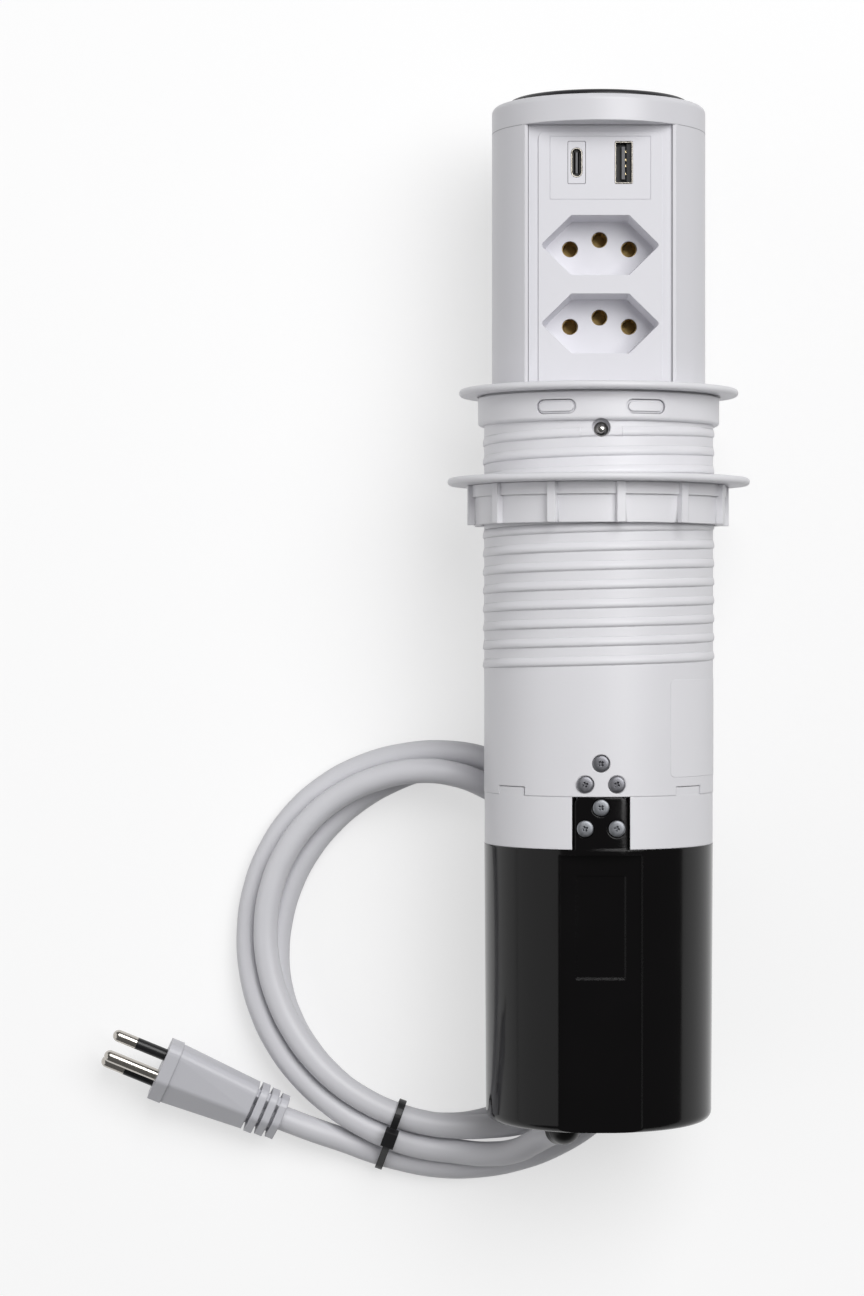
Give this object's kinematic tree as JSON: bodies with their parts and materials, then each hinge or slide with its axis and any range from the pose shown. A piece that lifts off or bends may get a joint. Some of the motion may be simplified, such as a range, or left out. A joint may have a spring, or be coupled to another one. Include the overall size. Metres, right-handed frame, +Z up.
{
  "type": "pop-up desk socket",
  "caption": "Pop-up desk power tower with socket recesses and USB ports, sliding in a threaded sleeve that a washer and nut clamp through the desk, with a coiled mains cord and plug.",
  "frame": {"origin": "middle of the rigid unit, without its cord, on the table it lies on", "axes": "+Y along the tower to its top, +Z up from the table and out of the socket face, +X to the right of the face"},
  "size_m": [0.2166, 0.3582, 0.0985],
  "materials": {
    "white_shell": "satin white moulding",
    "white_front": "fine matt white moulding",
    "white_plug": "soft white moulding",
    "black_plastic": "satin black moulding",
    "steel": "plated",
    "brass": "plain",
    "cord": "smooth white sheath",
    "board": "coated board",
    "supply": "wound parts, simplified",
    "insulator": "plain",
    "cores": "insulated wire"
  },
  "bodies": {
    "tower": {"top_pad": "black_plastic", "cap_ring": "white_shell", "tower_shell": "white_shell", "socket_faceplate": "white_front", "usb_module_face": "white_front", "usb_c_insert": "white_front", "usb_c_shell": "steel", "usb_c_tongue": "black_plastic", "usb_a_shell": "steel", "usb_a_tongue": "black_plastic", "usb_board": "board", "usb_supply": "supply", "contact_carrier": "insulator", "insulator_plate": "insulator", "line_busbar": "brass", "neutral_busbar": "brass", "earth_busbar": "brass", "core_wires": "cores", "tower_base": "white_shell", "detent_spring": "steel"},
    "sleeve": {"threaded_sleeve": "white_shell", "desk_flange": "white_shell", "coupling_ring": "white_shell", "bottom_housing": "black_plastic", "splice_plate": "steel", "sleeve_screws": "steel", "housing_screws": "steel", "cord_gland": "black_plastic", "gland_nut": "black_plastic", "inner_lead": "cord", "cord_lead": "cord", "cord_coil": "cord", "cord_tail": "cord", "plug_body": "white_plug", "plug_strain_relief": "white_plug", "plug_pins": "steel", "plug_pin_sleeves": "black_plastic", "cable_tie": "black_plastic"},
    "detent_ball": {"detent_ball": "steel"},
    "clamp_washer": {"clamp_washer": "white_shell"},
    "lock_nut": {"lock_nut": "white_shell"}
  },
  "joints": [
    {"name": "tower_lift", "type": "slide", "parent": "sleeve", "child": "tower", "axis": [0, 1, 0], "range_m": [-0.091, 0], "deforming": ["inner_lead"]},
    {"name": "ball_press", "type": "slide", "parent": "tower", "child": "detent_ball", "axis": [0, 0, -1], "range_m": [0, 0.001], "stiffness_N_per_m": 1500, "springref_m": -0.001, "deforming": ["detent_spring"]},
    {"name": "washer_slide", "type": "slide", "parent": "sleeve", "child": "clamp_washer", "axis": [0, 1, 0], "range_m": [-0.044, 0.0164]},
    {"name": "nut_turn", "type": "hinge", "parent": "clamp_washer", "child": "lock_nut", "pos_m": [0, 0.04001, 0.04925], "axis": [0, 1, 0], "range_deg": [-2650, 990]}
  ],
  "couplings": [
    {"joint": "nut_turn", "follows": "washer_slide", "rad_per_m": 1047.2}
  ]
}
